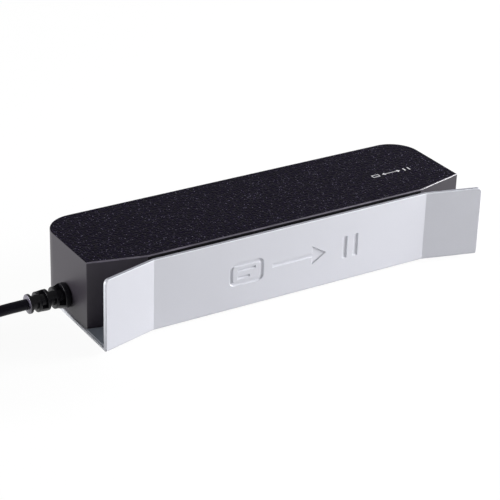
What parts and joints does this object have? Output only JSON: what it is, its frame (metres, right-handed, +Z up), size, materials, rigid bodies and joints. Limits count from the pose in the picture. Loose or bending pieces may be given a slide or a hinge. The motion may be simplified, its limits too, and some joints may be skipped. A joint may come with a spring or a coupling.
{
  "type": "id document reader",
  "caption": "Low black desktop reader with a silver sheet guide that flares at both ends of a long swipe slot, and a cable with a plug.",
  "frame": {"origin": "under the middle of the reader without its cord, in the plane that its four feet stand on", "axes": "+X along the slot towards the end without a cable, +Y from the guide to the back of the housing, +Z up"},
  "size_m": [0.3025, 0.0732, 0.0328],
  "materials": {
    "guide_paint": "fine satin silver paint",
    "wear_strip": "smooth dark grey wear strip",
    "cover_moulding": "finely grained black moulding",
    "screws": "plain zinc-plated screws",
    "feet": "matte black rubber",
    "clear_parts": "clear polished",
    "foam": "soft closed-cell foam",
    "chips": "dull black epoxy",
    "cable_jacket": "smooth black jacket with a soft shine",
    "nylon": "natural white nylon",
    "inner_moulding": "matte black",
    "mirror": "front-silvered glass",
    "circuit_board": "green solder mask",
    "lamp_lens": "milky clear",
    "ribbon": "amber film",
    "nickel": "nickel plated",
    "spring_steel": "bright spring strip",
    "can": "plain can",
    "tie": "matte black strap",
    "tongue": "black insulator"
  },
  "bodies": {
    "housing": {"slot_guide": "guide_paint", "slot_liner": "wear_strip", "top_cover": "cover_moulding", "cover_screw_front_left": "screws", "cover_screw_front_right": "screws", "cover_screw_rear_left": "screws", "cover_screw_rear_right": "screws", "foot_front_left": "feet", "foot_front_right": "feet", "foot_rear_left": "feet", "foot_rear_right": "feet", "scan_window": "clear_parts", "window_gasket": "foam", "presence_sensor_left": "chips", "presence_sensor_right": "chips", "inner_lead": "cable_jacket", "lead_clamp": "nylon", "screw_optics_front": "screws", "screw_optics_rear": "screws", "screw_bracket_left": "screws", "screw_bracket_right": "screws", "screw_clamp": "screws", "optics_housing": "inner_moulding", "fold_mirror": "mirror", "lens_barrel": "inner_moulding", "front_lens": "clear_parts", "sensor_board": "circuit_board", "image_sensor": "chips", "lamp_board_left": "circuit_board", "lamp_board_right": "circuit_board", "lamp_strip_left": "lamp_lens", "lamp_strip_right": "lamp_lens", "camera_ribbon": "ribbon", "head_spring": "spring_steel", "head_bracket": "inner_moulding", "head_ribbon": "ribbon", "head_screw_left": "screws", "head_screw_right": "screws", "main_board": "circuit_board", "board_screw_front_left": "screws", "board_screw_front_right": "screws", "board_screw_rear_left": "screws", "board_screw_rear_right": "screws", "processor_chip": "chips", "board_capacitor": "can", "buzzer": "chips", "head_socket": "nylon", "camera_socket": "nylon", "board_header": "nylon", "strain_relief": "cable_jacket", "cord_lead": "cable_jacket", "cord_coil": "cable_jacket", "coil_tie": "tie", "cord_tail": "cable_jacket", "plug_body": "cable_jacket", "plug_shell": "nickel", "plug_tongue": "tongue"},
    "sprung_head": {"read_head": "nickel"}
  },
  "joints": [
    {"name": "head_yield", "type": "slide", "parent": "housing", "child": "sprung_head", "axis": [0, 1, 0], "range_m": [0, 0.0009], "stiffness_N_per_m": 900, "deforming": ["head_spring", "head_ribbon"]}
  ]
}
